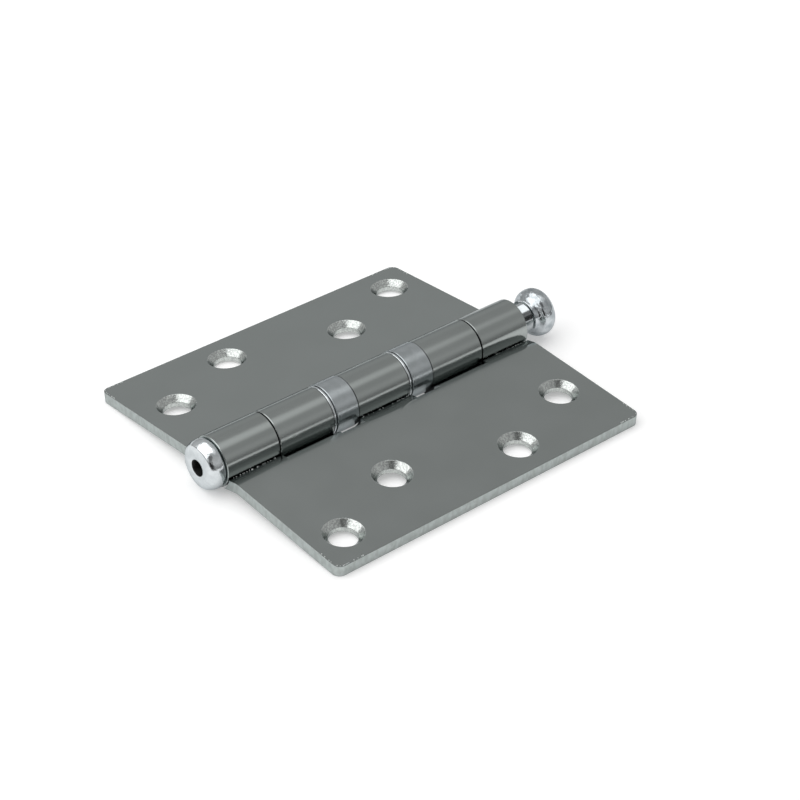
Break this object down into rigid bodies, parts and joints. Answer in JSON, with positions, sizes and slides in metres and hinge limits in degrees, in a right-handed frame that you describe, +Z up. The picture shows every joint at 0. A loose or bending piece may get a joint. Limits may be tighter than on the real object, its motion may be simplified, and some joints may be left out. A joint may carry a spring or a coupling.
{
  "type": "ball bearing hinge",
  "caption": "Steel butt hinge with a rolled barrel, ball thrust bearings between its knuckles, countersunk leaves and a loose mushroom headed pin.",
  "frame": {"origin": "on the surface the hinge lies on, below the pin's axis and midway along the whole length from plug to pin head", "axes": "+Y along the barrel towards the pin's head, +X towards the leaf with two knuckles, +Z up, on the countersunk side"},
  "size_m": [0.0888, 0.1046, 0.0125],
  "materials": {
    "leaves": "satin zinc plate",
    "pin": "bright zinc plate",
    "plug": "bright zinc plate",
    "bearing_steel": "bright turned steel",
    "balls": "polished hard steel"
  },
  "bodies": {
    "leaf_a_side": {"leaf_a": "leaves", "bottom_plug": "plug", "lower_bearing_shell": "bearing_steel", "upper_bearing_race": "bearing_steel"},
    "leaf_b_side": {"leaf_b": "leaves", "lower_bearing_race": "bearing_steel", "upper_bearing_shell": "bearing_steel"},
    "pin": {"pin": "pin"},
    "lower_balls": {"lower_ball_01": "balls", "lower_ball_02": "balls", "lower_ball_03": "balls", "lower_ball_04": "balls", "lower_ball_05": "balls", "lower_ball_06": "balls", "lower_ball_07": "balls", "lower_ball_08": "balls", "lower_ball_09": "balls", "lower_ball_10": "balls", "lower_ball_11": "balls", "lower_ball_12": "balls"},
    "upper_balls": {"upper_ball_01": "balls", "upper_ball_02": "balls", "upper_ball_03": "balls", "upper_ball_04": "balls", "upper_ball_05": "balls", "upper_ball_06": "balls", "upper_ball_07": "balls", "upper_ball_08": "balls", "upper_ball_09": "balls", "upper_ball_10": "balls", "upper_ball_11": "balls", "upper_ball_12": "balls"}
  },
  "joints": [
    {"name": "leaf_hinge", "type": "hinge", "parent": "leaf_a_side", "child": "leaf_b_side", "pos_m": [0, 0, 0.00625], "axis": [0, -1, 0], "range_deg": [-60, 187.7]},
    {"name": "pin_slide", "type": "slide", "parent": "leaf_a_side", "child": "pin", "axis": [0, 1, 0], "range_m": [-0.0043, 0.085]},
    {"name": "lower_balls_roll", "type": "hinge", "parent": "leaf_a_side", "child": "lower_balls", "pos_m": [0, 0, 0.00625], "axis": [0, -1, 0], "range_deg": [-30, 93.85]},
    {"name": "upper_balls_roll", "type": "hinge", "parent": "leaf_a_side", "child": "upper_balls", "pos_m": [0, 0, 0.00625], "axis": [0, -1, 0], "range_deg": [-30, 93.85]}
  ],
  "couplings": [
    {"joint": "lower_balls_roll", "follows": "leaf_hinge", "ratio": 0.5},
    {"joint": "upper_balls_roll", "follows": "leaf_hinge", "ratio": 0.5}
  ]
}
